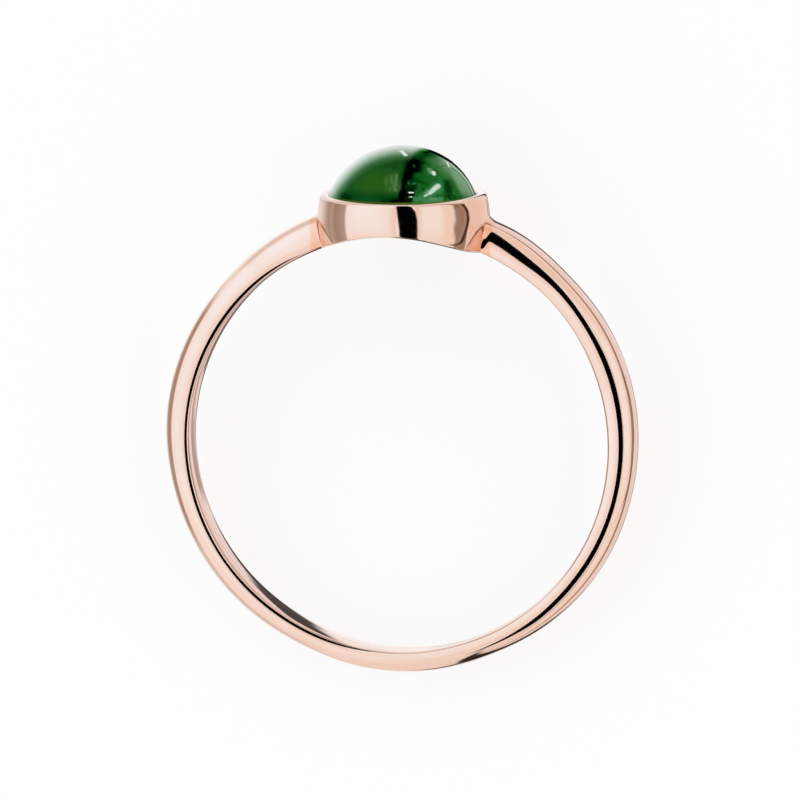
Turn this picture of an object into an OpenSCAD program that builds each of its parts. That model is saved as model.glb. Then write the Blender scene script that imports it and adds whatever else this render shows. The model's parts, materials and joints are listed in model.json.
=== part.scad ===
// A ring with a round cabochon in a smooth cup. It lies on its side, as it rests on a table:
// the finger axis is nearly upright, and the stone points along +Y.

/* [Shank] */
// Inner diameter, where the finger goes
finger_d = 17; // [15:0.5:21]
// Width of the shank along the finger
shank_w = 1.65; // [1.4:0.05:2]
// Thickness of the shank opposite the stone
back_t = 0.94; // [0.8:0.02:1]
// Thickness of the shank where it runs under the stone
head_t = 1.3; // [1.16:0.02:1.4]
// Height of the domed outer face above the straight sides
dome_h = 0.7; // [0.5:0.02:0.76]
// Rounding of the two inner edges
inner_edge_r = 0.22; // [0.12:0.02:0.3]

/* [Cup] */
// Largest outer radius of the cup
cup_r = 3.47; // [3.4:0.01:3.7]
// Radius of the arc that the cup's wall follows from rim to finger
wall_arc_r = 4.5; // [4:0.25:8]
// Height of the widest place of the wall above the finger opening
widest_h = 0.8; // [0.6:0.05:1]
// Height of the rim above the finger opening
rim_h = 1.56; // [1.5:0.02:1.8]
// Radius of the rounded rim
rim_r = 0.25; // [0.2:0.01:0.28]
// Radius of the opening behind the stone
back_hole_r = 2.45; // [1.8:0.05:2.6]
// Rise of the cup's lower edge at its front and back over the finger opening
lower_edge_rise = 0.25; // [0.1:0.05:0.3]
// Sideways place of the cup from the middle of the shank
cup_shift = 0.15; // [-0.2:0.05:0.2]

/* [Stone] */
// Radius of the stone at its girdle
stone_r = 3.12; // [3:0.01:3.14]
// Radius of the sphere that the dome is cut to
stone_dome_r = 3.3; // [3.25:0.05:3.5]
// Height of the dome's top above the finger opening
stone_top_h = 3.52; // [3.4:0.02:3.7]
// Height of the stone's flat base above the finger opening
stone_base_h = 0.74; // [0.7:0.02:0.8]
// Bevel round the stone's base
base_bevel = 0.12; // [0.05:0.01:0.2]
// Gap between the stone and the metal
stone_gap = 0.03; // [0.02:0.01:0.05]

/* [Hidden] */
$fn = 128;
gold = [0.93, 0.68, 0.55];
green = [0.08, 0.36, 0.13];
// How far a cutter reaches where it only has to go past everything
reach = 30;
// How far a cutter or a filled section goes on inside what another one covers
spare = 1;
overlap = 0.1;
// Share by which a rounding's circle crosses the faces it joins, so that it meets them at an angle
edge_cross = 0.03;
finger_r = finger_d / 2;

// The shank's outer face is round about an axis that lies a little toward the stone,
// so that the shank grows evenly thicker from its back to its head.
outer_shift = (head_t - back_t) / 2;
outer_r = finger_r + (head_t + back_t) / 2;
side_r = outer_r - dome_h;

// The cup's wall, measured from the middle of the finger opening.
widest_y = finger_r + widest_h;
wall_arc_x = cup_r - wall_arc_r;
rim_y = finger_r + rim_h - rim_r;
rim_x = wall_arc_x + sqrt(wall_arc_r ^ 2 - (rim_y - widest_y) ^ 2) - rim_r;
seat_y = finger_r + stone_base_h - stone_gap;

// The finger opening is straight under the shank, and flares beyond it.
straight_w = shank_w / 2 + overlap;
flare_w = cup_r - straight_w;
flare_r = flare_w ^ 2 / (2 * lower_edge_rise);

// The stone's dome.
stone_base_y = finger_r + stone_base_h;
dome_y = finger_r + stone_top_h - stone_dome_r;

// The ring lies on the cup's wall and on the back of the shank. The floor touches the wall's arc
// and the shank's edge, which gives rest_a * sin(rest_tilt) + rest_b * cos(rest_tilt) = wall_arc_r.
rest_a = widest_y + side_r - outer_shift;
rest_b = shank_w / 2 - wall_arc_x;
rest_tilt = asin(wall_arc_r / norm([rest_a, rest_b])) - atan2(rest_b, rest_a);
rest_z = wall_arc_r - widest_y * sin(rest_tilt) + wall_arc_x * cos(rest_tilt);
rest_y = (outer_r - outer_shift) * cos(rest_tilt) / 2 - (dome_y * cos(rest_tilt) + stone_dome_r) / 2;

// Turns a profile of radius and height round the line from the finger's middle to the stone.
module turned_on_head() {
    translate([cup_shift, 0, 0])
        rotate([-90, 0, 0])
            rotate_extrude()
                intersection() {
                    children();
                    square([reach, reach]);
                }
}

module lying_on_its_side() {
    translate([0, rest_y, rest_z])
        rotate([rest_tilt, 0, 0])
            children();
}

// The shank's section: straight sides and an elliptic dome.
module shank_section() {
    translate([finger_r - spare, -shank_w / 2])
        square([side_r - finger_r + spare, shank_w]);
    translate([side_r, 0])
        scale([dome_h, shank_w / 2])
            circle(r = 1);
}

// What rounding the inner edges takes away on one side.
module inner_edge_waste() {
    difference() {
        translate([finger_r - spare, shank_w / 2 - inner_edge_r])
            square([spare + inner_edge_r, spare]);
        translate([finger_r + inner_edge_r * (1 - edge_cross), shank_w / 2 - inner_edge_r])
            circle(r = inner_edge_r * (1 + edge_cross));
    }
}

module shank() {
    difference() {
        translate([0, outer_shift, 0])
            rotate_extrude()
                shank_section();
        rotate_extrude()
            inner_edge_waste();
        mirror([0, 0, 1])
            rotate_extrude()
                inner_edge_waste();
    }
}

// The cup before it is hollowed: an arched wall under a rounded rim.
module cup_blank() {
    turned_on_head() {
        intersection() {
            translate([wall_arc_x, widest_y])
                circle(r = wall_arc_r);
            translate([back_hole_r - overlap, 0])
                square([cup_r, rim_y]);
        }
        translate([rim_x, rim_y])
            circle(r = rim_r);
    }
}

// The stone's outline, grown by a gap on every side.
module stone_profile(gap) {
    intersection() {
        translate([0, dome_y])
            circle(r = stone_dome_r + gap);
        translate([0, stone_base_y - gap])
            square([stone_r + gap, reach]);
    }
}

module stone_seat() {
    turned_on_head() {
        stone_profile(stone_gap);
        square([back_hole_r, seat_y + overlap]);
    }
}

module finger_opening() {
    rotate_extrude()
        difference() {
            translate([0, -reach / 2])
                square([finger_r + spare, reach]);
            for (side = [-1, 1])
                translate([finger_r + flare_r, side * straight_w])
                    circle(r = flare_r);
            translate([finger_r, -straight_w])
                square([2 * spare, 2 * straight_w]);
        }
}

module shank_and_bezel() {
    color(gold)
        lying_on_its_side()
            difference() {
                union() {
                    shank();
                    cup_blank();
                }
                stone_seat();
                finger_opening();
            }
}

module tourmaline_cabochon() {
    color(green)
        lying_on_its_side()
            turned_on_head()
                difference() {
                    stone_profile(0);
                    translate([stone_r, stone_base_y])
                        rotate(45)
                            square(base_bevel * sqrt(2), center = true);
                }
}

shank_and_bezel();
tourmaline_cabochon();
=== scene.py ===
"""A slim rose gold ring with a round green cabochon in a smooth cup, lying on its side on a plain pale floor.

The ring's own space has x to the right, y from the middle of the finger opening to the stone and z along the
opening, up to the viewer. Sizes are in millimetres there, and RingSpace puts them into the frame, in metres.
"""

import json
import logging
import math
from dataclasses import dataclass
from enum import Enum
from typing import Any

import bpy
import numpy as np
from mathutils import Matrix, Vector

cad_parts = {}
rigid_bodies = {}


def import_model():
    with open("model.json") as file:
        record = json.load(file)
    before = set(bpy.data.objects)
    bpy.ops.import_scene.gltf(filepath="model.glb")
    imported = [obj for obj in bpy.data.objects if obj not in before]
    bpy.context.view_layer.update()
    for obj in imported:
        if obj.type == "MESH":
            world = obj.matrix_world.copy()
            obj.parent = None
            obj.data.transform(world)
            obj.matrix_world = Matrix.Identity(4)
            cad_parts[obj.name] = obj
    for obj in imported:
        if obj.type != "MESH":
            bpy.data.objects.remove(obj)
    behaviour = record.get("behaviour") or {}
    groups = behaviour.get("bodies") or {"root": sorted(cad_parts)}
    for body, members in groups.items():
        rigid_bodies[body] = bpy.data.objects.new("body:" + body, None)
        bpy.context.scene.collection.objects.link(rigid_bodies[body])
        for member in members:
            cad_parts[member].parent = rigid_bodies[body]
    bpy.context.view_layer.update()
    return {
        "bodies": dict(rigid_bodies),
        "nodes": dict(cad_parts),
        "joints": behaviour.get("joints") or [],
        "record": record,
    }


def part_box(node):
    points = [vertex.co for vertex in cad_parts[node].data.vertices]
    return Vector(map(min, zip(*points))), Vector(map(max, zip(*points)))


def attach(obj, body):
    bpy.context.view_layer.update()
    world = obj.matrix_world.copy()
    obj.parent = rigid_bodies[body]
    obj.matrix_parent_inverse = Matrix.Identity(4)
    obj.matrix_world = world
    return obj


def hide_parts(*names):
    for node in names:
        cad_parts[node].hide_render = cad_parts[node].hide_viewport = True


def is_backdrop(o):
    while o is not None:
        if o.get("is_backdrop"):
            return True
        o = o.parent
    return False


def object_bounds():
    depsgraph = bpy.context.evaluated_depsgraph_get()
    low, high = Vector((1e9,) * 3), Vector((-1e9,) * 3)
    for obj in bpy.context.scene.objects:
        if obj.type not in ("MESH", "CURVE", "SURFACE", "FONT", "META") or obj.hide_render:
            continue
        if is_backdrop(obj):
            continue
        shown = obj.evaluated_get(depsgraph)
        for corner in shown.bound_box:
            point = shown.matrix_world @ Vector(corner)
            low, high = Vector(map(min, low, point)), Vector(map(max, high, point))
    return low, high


LOG = logging.getLogger("ring")
MM = 0.001
IMAGE_SIDE = 800
SENSOR = 36.0

Array = np.ndarray
Socket = bpy.types.NodeSocket
Colour = tuple[float, float, float]
Span = tuple[float, float]
Arcs = tuple[Span, ...]


# Shader expressions


class Value:
    """A number in a shader. Python's operators on it add Math nodes."""

    def __init__(self, graph: "Graph", socket: Socket) -> None:
        """Keeps the graph and the socket that gives the number."""
        self.graph = graph
        self.socket = socket

    def __add__(self, other: "Value | float") -> "Value":
        """The sum."""
        return self.graph.math("ADD", self, other)

    def __radd__(self, other: float) -> "Value":
        """The sum with a plain number on the left."""
        return self.graph.math("ADD", other, self)

    def __sub__(self, other: "Value | float") -> "Value":
        """The difference."""
        return self.graph.math("SUBTRACT", self, other)

    def __rsub__(self, other: float) -> "Value":
        """The difference with a plain number on the left."""
        return self.graph.math("SUBTRACT", other, self)

    def __mul__(self, other: "Value | float") -> "Value":
        """The product."""
        return self.graph.math("MULTIPLY", self, other)

    def __rmul__(self, other: float) -> "Value":
        """The product with a plain number on the left."""
        return self.graph.math("MULTIPLY", other, self)

    def __truediv__(self, other: "Value | float") -> "Value":
        """The quotient."""
        return self.graph.math("DIVIDE", self, other)

    def __pow__(self, other: "Value | float") -> "Value":
        """The power."""
        return self.graph.math("POWER", self, other)


class Graph:
    """A node tree that expressions fill."""

    def __init__(self, tree: bpy.types.NodeTree) -> None:
        """Empties the tree."""
        self.tree = tree
        tree.nodes.clear()

    def node(
        self,
        kind: str,
        settings: dict[str, Any] | None = None,
        inputs: dict[str | int, Any] | None = None,
    ) -> bpy.types.Node:
        """Adds a node, with its settings first and then the values or links of its sockets.

        Args:
            kind: The node's type.
            settings: Its properties by name.
            inputs: Its sockets by name or number, with a number, a colour, a Value or a socket for each.

        Returns:
            The node.
        """
        made = self.tree.nodes.new(kind)
        for name, setting in (settings or {}).items():
            setattr(made, name, setting)
        for name, value in (inputs or {}).items():
            socket = made.inputs[name]
            value = value.socket if isinstance(value, Value) else value
            if isinstance(value, Socket):
                self.tree.links.new(value, socket)
            else:
                socket.default_value = value
        return made

    def math(self, operation: str, *values: "Value | float") -> Value:
        """Adds a Math node and gives its result."""
        made = self.node("ShaderNodeMath", {"operation": operation}, dict(enumerate(values)))
        return Value(self, made.outputs[0])

    def dot(self, vector: Socket, axis: Array) -> Value:
        """The length of a vector along an axis."""
        made = self.node("ShaderNodeVectorMath", {"operation": "DOT_PRODUCT"}, {0: vector, 1: tuple(axis)})
        return Value(self, made.outputs["Value"])

    def vector(self, operation: str, *values: Any) -> Socket:
        """Adds a Vector Math node and gives its vector."""
        made = self.node("ShaderNodeVectorMath", {"operation": operation}, dict(enumerate(values)))
        return made.outputs[0]

    def length(self, vector: Socket) -> Value:
        """The length of a vector."""
        made = self.node("ShaderNodeVectorMath", {"operation": "LENGTH"}, {0: vector})
        return Value(self, made.outputs["Value"])

    def combine(self, x: "Value | float", y: "Value | float", z: "Value | float") -> Socket:
        """A vector from its three parts."""
        return self.node("ShaderNodeCombineXYZ", None, {0: x, 1: y, 2: z}).outputs[0]

    def held(self, value: Value, low: float = 0.0, high: float = 1.0) -> Value:
        """The number, and no less than low or more than high."""
        return self.math("MAXIMUM", self.math("MINIMUM", value, high), low)

    def ramp_up(self, value: Value, low: "Value | float", high: "Value | float") -> Value:
        """0 below low, 1 above high and a smooth S between them."""
        ends = {"Value": value, "From Min": low, "From Max": high}
        made = self.node("ShaderNodeMapRange", {"interpolation_type": "SMOOTHSTEP"}, ends)
        return Value(self, made.outputs[0])

    def ramp_down(self, value: Value, low: "Value | float", high: "Value | float") -> Value:
        """1 below low, 0 above high and a smooth S between them."""
        return 1 - self.ramp_up(value, low, high)

    def window(self, value: Value, low: "Value | float", high: "Value | float", soft: float) -> Value:
        """1 between low and high and 0 outside, with edges that are soft over twice that much."""
        rise = self.ramp_up(value, low - soft, low + soft)
        return rise * self.ramp_down(value, high - soft, high + soft)

    def noise(self, place: Socket, scale: float, detail: float = 2.0, warp: float = 0.0) -> Value:
        """Smooth noise round 0.5, with scale waves in a unit of the place."""
        inputs = {"Vector": place, "Scale": scale, "Detail": detail, "Distortion": warp}
        return Value(self, self.node("ShaderNodeTexNoise", None, inputs).outputs["Fac"])

    def blend(self, share: "Value | float", first: Any, second: Any) -> Socket:
        """A colour between two others, the second where the share is 1."""
        return self.node("ShaderNodeMix", {"data_type": "RGBA"}, {0: share, 6: first, 7: second}).outputs[2]

    def paint(self, share: "Value | float", under: Any, colour: Colour) -> Socket:
        """A plain colour laid over another by a share."""
        return self.blend(share, under, (*colour, 1))


def tinted(colour: Colour, by: Colour) -> Colour:
    """A colour times another, part by part."""
    return tuple(c * s for c, s in zip(colour, by))


# Surfaces


class End(Enum):
    """How a loft of rings ends."""

    CENTRE = "closed to the ring's middle"
    JOINED = "joined to the first ring"


def loft(name: str, rings: Array, end: End) -> bpy.types.Object:
    """Makes a closed skin over rings of points.

    The point of ring i and place j is rings[i, j], and four neighbours make a face. Each ring closes on
    itself. A skin that isn't joined has a fan of triangles from each end ring to its middle. The faces are
    turned outwards: the sum of a · (b × c) / 6 over the triangles is the volume, and where it is negative
    they are all turned.

    Args:
        name: The piece's name.
        rings: An array of rings, places and x, y, z in metres.
        end: How the first and the last ring are closed.

    Returns:
        The object, with its place in its mesh.
    """
    count, around = rings.shape[:2]
    points = rings.reshape(-1, 3)
    row = np.arange(count if end is End.JOINED else count - 1)[:, None]
    column = np.arange(around)[None, :]
    here, there = row * around, (row + 1) % count * around
    after = (column + 1) % around
    quads = np.stack((here + column, here + after, there + after, there + column), -1).reshape(-1, 4)
    fans = np.zeros((0, 3), int)
    if end is End.CENTRE:
        middles = rings[[0, -1]].mean(1)
        points = np.concatenate((points, middles))
        first, last = count * around, count * around + 1
        start = (count - 1) * around
        place = np.arange(around)
        next_place = (place + 1) % around
        at_first = np.stack((np.full(around, first), next_place, place), -1)
        at_last = np.stack((np.full(around, last), start + place, start + next_place), -1)
        fans = np.concatenate((at_first, at_last))
    triangles = np.concatenate((quads[:, [0, 1, 2]], quads[:, [0, 2, 3]], fans))
    a, b, c = (points[triangles[:, k]] for k in range(3))
    if np.einsum("ij,ij->", a, np.cross(b, c)) < 0:
        quads, fans = quads[:, ::-1], fans[:, ::-1]
    mesh = bpy.data.meshes.new(name)
    mesh.from_pydata(points.tolist(), [], quads.tolist() + fans.tolist())
    mesh.shade_smooth()
    mesh.update()
    made = bpy.data.objects.new(name, mesh)
    bpy.context.scene.collection.objects.link(made)
    return made


def steps(count: int, first: float = 0.0, last: float = 1.0) -> Array:
    """Even steps from the first number to the last, as a row."""
    return np.linspace(first, last, count)[None, :]


def arc_chain(start: float, arcs: Arcs, step: float) -> Array:
    """Points and normals along arcs that join without a corner.

    Each arc turns the outward normal from angle s to angle e about a centre, at radius r, so it adds
    r (sin a − sin s) along and −r (cos s − cos a) up for each angle a between them.

    Args:
        start: The normal's angle at the first point, in degrees from straight up.
        arcs: The radius of each arc and the angle that it ends at.
        step: The largest turn between two points, in degrees.

    Returns:
        An array of along, up and the normal's angle in radians, for each point.
    """
    along, up, angle = [0.0], [0.0], [math.radians(start)]
    for radius, end in arcs:
        count = max(3, math.ceil(abs(math.radians(end) - angle[-1]) / math.radians(step)))
        turned = np.linspace(angle[-1], math.radians(end), count + 1)[1:]
        base_along, base_up, base = along[-1], up[-1], angle[-1]
        along += list(base_along + radius * (np.sin(turned) - math.sin(base)))
        up += list(base_up + radius * (np.cos(turned) - math.cos(base)))
        angle += list(turned)
    return np.array((along, up, angle)).T


@dataclass(frozen=True)
class RingSpace:
    """The ring's own space in the frame."""

    centre: Array
    axes: Array
    finger_r: float
    outer_r: float

    @classmethod
    def from_frame(cls, frame: dict[str, Any]) -> "RingSpace":
        """Reads the space from the finger opening and the metal's box.


        Returns:
            The ring's space.
        """
        opening = next(m for m in frame["record"]["mounts"] if m["name"] == "finger_opening")
        along = np.array(opening["axis"]) / np.linalg.norm(opening["axis"])
        right = np.array((1.0, 0.0, 0.0))
        low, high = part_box("shank_and_bezel")
        return cls(
            centre=np.array(opening["pos_m"]),
            axes=np.stack((right, np.cross(along, right), along)),
            finger_r=opening["dims"]["r_mm"],
            outer_r=(high.x - low.x) / 2 / MM,
        )

    def place(self, points: Array) -> Array:
        """Points in millimetres in the ring's space, as points in metres in the frame."""
        return self.centre + points @ self.axes * MM


@dataclass(frozen=True)
class Cup:
    """The round cup that holds the stone, turned about the axis of the ring's head."""

    space: RingSpace
    shift: float = 0.15
    widest_r: float = 3.47
    widest_h: float = 0.8
    wall_arc_r: float = 4.5
    rim_h: float = 1.56
    # The rim from the wall to the stone, at the front and at the sides: radius and the normal's angle at the
    # end, from straight out.
    rim_front: Arcs = ((0.12, 70.0), (0.4, 110.0), (0.06, 170.0))
    rim_side: Arcs = ((0.22, 70.0), (0.24, 110.0), (0.15, 170.0))
    rim_step_deg: float = 4.0
    # How far the wall's foot stands out on the right, and how many times that it comes in up to the rim.
    right_flare: float = 0.11
    flare_return: float = 1.5
    # How far the wall's top leans in on the left, and how far the rim rises on either side.
    left_tuck: float = 0.08
    right_rise: float = 0.1
    left_rise: float = 0.04
    # How far the lip lies under the stone's skin, and how far the seat stands off it.
    lip_sunk: float = 0.005
    seat_gap: float = 0.012
    seat_h: float = 0.71
    seat_r: float = 3.135
    back_hole_r: float = 2.45
    # What is taken off the edges of the lip, the ledge and the back hole, and the shares that the hole's wall
    # goes from and to.
    lip_break: float = 0.04
    ledge_break: float = 0.05
    hole_break: float = 0.03
    hole_wall: Span = (0.04, 0.96)
    # The finger opening: its straight part on either side of the middle, and the rise of the flare past it.
    straight_w: float = 0.925
    edge_rise: float = 0.25
    edge_r: float = 0.07

    @property
    def flare_w(self) -> float:
        """How far the flare of the finger opening reaches past the straight part."""
        return self.widest_r - self.straight_w

    @property
    def flare_r(self) -> float:
        """The radius of the flare's arc: w² / 2h for its width and its rise."""
        return self.flare_w**2 / (2 * self.edge_rise)

    def wall_radius(self, height: Array) -> Array:
        """The wall's radius at a height y: x0 + sqrt(R² − (y − y0)²), a barrel."""
        rise = height - self.space.finger_r - self.widest_h
        return self.widest_r - self.wall_arc_r + np.sqrt(self.wall_arc_r**2 - rise**2)

    def opening_height(self, x: Array, z: Array) -> Array:
        """The height of the finger opening's wall: sqrt(R² − x²).

        Past the straight part, R is finger_r + f − sqrt(f² − p²), with the flare's radius f and the way p.

        Args:
            x: The places to the right.
            z: The places along the finger opening.

        Returns:
            The heights.
        """
        past = np.clip(np.abs(z) - self.straight_w, 0.0, self.flare_w)
        radius = self.space.finger_r + self.flare_r - np.sqrt(self.flare_r**2 - past**2)
        return np.sqrt(radius**2 - x**2)

    def _turned(self, radius: Array, height: Array, turn: Array) -> Array:
        """Points at a radius, a height and a turn about the head's axis."""
        x, z = radius * np.sin(turn) + self.shift, radius * np.cos(turn)
        return np.stack(np.broadcast_arrays(x, height, z), -1)

    def _bottom(self, radius: Array, turn: Array) -> Array:
        """The height of the underside at a radius and a turn."""
        return self.opening_height(radius * np.sin(turn) + self.shift, radius * np.cos(turn))

    def _lower_corner(self, turn: Array, passes: int = 20) -> tuple[Array, Array]:
        """Where the wall would meet the underside.

        Each pass takes the underside's height at the last radius, and then the wall's radius at that height.

        Args:
            turn: The turns about the head's axis.
            passes: The number of passes.

        Returns:
            The radius and the height at each turn.
        """
        radius = np.full_like(turn, self.widest_r)
        for _ in range(passes):
            height = self._bottom(radius, turn)
            radius = self.wall_radius(height)
        return radius, height

    def _sideways(self, turn: Array, side: int) -> Array:
        """How far a turn is to the right, for side 1, or to the left, for side -1: sin³, and 0 past it."""
        return np.clip(side * np.sin(turn), 0, 1) ** 3

    def _lean(self, turn: Array, share: Array) -> Array:
        """How far the wall stands out at a turn and a share of its height."""
        out = self.right_flare * self._sideways(turn, 1) * (1 - self.flare_return * share)
        return out - self.left_tuck * self._sideways(turn, -1) * share**2

    def _outside(self, stone: "Cabochon", turn: Array, foot_h: Array, rows: int = 36) -> Array:
        """The wall from its foot to the rim, and the rim over to the lip.

        The rim's chain of arcs turns from straight out to straight up, so along is height and up is radius.
        It goes over from the front's to the side's by sin² of the turn, and rests on the stone where it would
        reach into it.

        Args:
            stone: The stone.
            turn: The turns about the head's axis.
            foot_h: The height of the wall's foot at each turn.
            rows: The number of places up the wall.

        Returns:
            The points at each turn.
        """
        start = math.degrees(math.asin((self.rim_h - self.widest_h) / self.wall_arc_r))
        front, side = (
            arc_chain(start, arcs, self.rim_step_deg)[None, 1:] for arcs in (self.rim_front, self.rim_side)
        )
        rim = front + (side - front) * (np.sin(turn) ** 2)[..., None]
        rise = self.right_rise * self._sideways(turn, 1) + self.left_rise * self._sideways(turn, -1)
        wall_top = self.space.finger_r + self.rim_h + rise - rim[..., 0].max(axis=1, keepdims=True)
        share = steps(rows)
        wall_h = foot_h + (wall_top - foot_h) * share
        lean = self._lean(turn, share)
        wall = self._turned(self.wall_radius(wall_h) + lean, wall_h, turn)
        rim_r = self.wall_radius(wall_top) + lean[:, -1:] + rim[..., 1]
        rim_h = wall_top + rim[..., 0]
        on_stone = stone.radius_at(rim_h) - stone.flank(rim_h, turn) - self.lip_sunk
        return np.concatenate((wall, self._turned(np.maximum(rim_r, on_stone), rim_h, turn)), 1)

    def _inside(self, stone: "Cabochon", turn: Array, lip_h: Array) -> Array:
        """The seat along the stone's side, the ledge under it and the back hole.

        Args:
            stone: The stone, whose side the seat follows.
            turn: The turns about the head's axis.
            lip_h: The height of the lip at each turn.

        Returns:
            The points at each turn.
        """
        seat_rows, ledge_rows, hole_rows = 14, 5, 10
        seat_h = self.space.finger_r + self.seat_h
        down = lip_h - self.lip_break + (seat_h - lip_h + self.lip_break) * steps(seat_rows)
        side_r = np.minimum(stone.radius_at(down) + self.seat_gap, self.seat_r) - stone.flank(down, turn)
        ledge_r = steps(ledge_rows, self.seat_r - self.ledge_break, self.back_hole_r + self.hole_break)
        hole_low = self._bottom(np.full_like(turn, self.back_hole_r), turn)
        fall = steps(hole_rows, *self.hole_wall)
        loops = (
            self._turned(side_r, down, turn),
            self._turned(ledge_r, np.full_like(ledge_r, seat_h), turn),
            self._turned(np.full_like(fall, self.back_hole_r), seat_h + (hole_low - seat_h) * fall, turn),
        )
        return np.concatenate(loops, 1)

    def build(self, stone: "Cabochon", around: int = 640) -> bpy.types.Object:
        """Builds the cup: up the wall, over the rim, down the inside, and out along the underside.

        The lower edge goes from the underside's end a to the wall's foot b by way of the corner c:
        a (1 − t)² + 2 c t (1 − t) + b t².

        Args:
            stone: The stone, whose side the seat follows.
            around: The number of places round the cup.

        Returns:
            The cup's object.
        """
        under_rows, edge_rows = 18, 9
        turn = np.linspace(0, 2 * math.pi, around, endpoint=False)[:, None]
        corner_r, corner_h = self._lower_corner(turn)
        outside = self._outside(stone, turn, corner_h + self.edge_r)
        inside = self._inside(stone, turn, outside[:, -1:, 1])
        inner_r = self.back_hole_r + self.hole_break
        under_r = inner_r + (corner_r - self.edge_r - inner_r) * steps(under_rows)
        under = self._turned(under_r, self._bottom(under_r, turn), turn)
        corner = self._turned(corner_r + self._lean(turn, np.zeros((1, 1))), corner_h, turn)
        t = steps(edge_rows)[:, 1:-1, None]
        edge = under[:, -1:] * (1 - t) ** 2 + corner * 2 * t * (1 - t) + outside[:, :1] * t**2
        loops = np.concatenate((outside, inside, under, edge), 1)
        return loft("bezel_cup", self.space.place(loops), End.JOINED)


@dataclass(frozen=True)
class Dressing:
    """A stretch of the band where hand filing left it a little high or low."""

    at_deg: float
    height: float
    spread_deg: float

    def height_at(self, turn: Array) -> Array:
        """The height at a turn in radians: h exp(−d² / 2s²), with d the turn from the stretch's middle."""
        away = (np.degrees(turn) - self.at_deg + 180) % 360 - 180
        return self.height * np.exp(-(away**2) / (2 * self.spread_deg**2))


def dressings(*rows: tuple[float, float, float]) -> tuple[Dressing, ...]:
    """A dressing for each row of place, height and spread."""
    return tuple(Dressing(*row) for row in rows)


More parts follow.
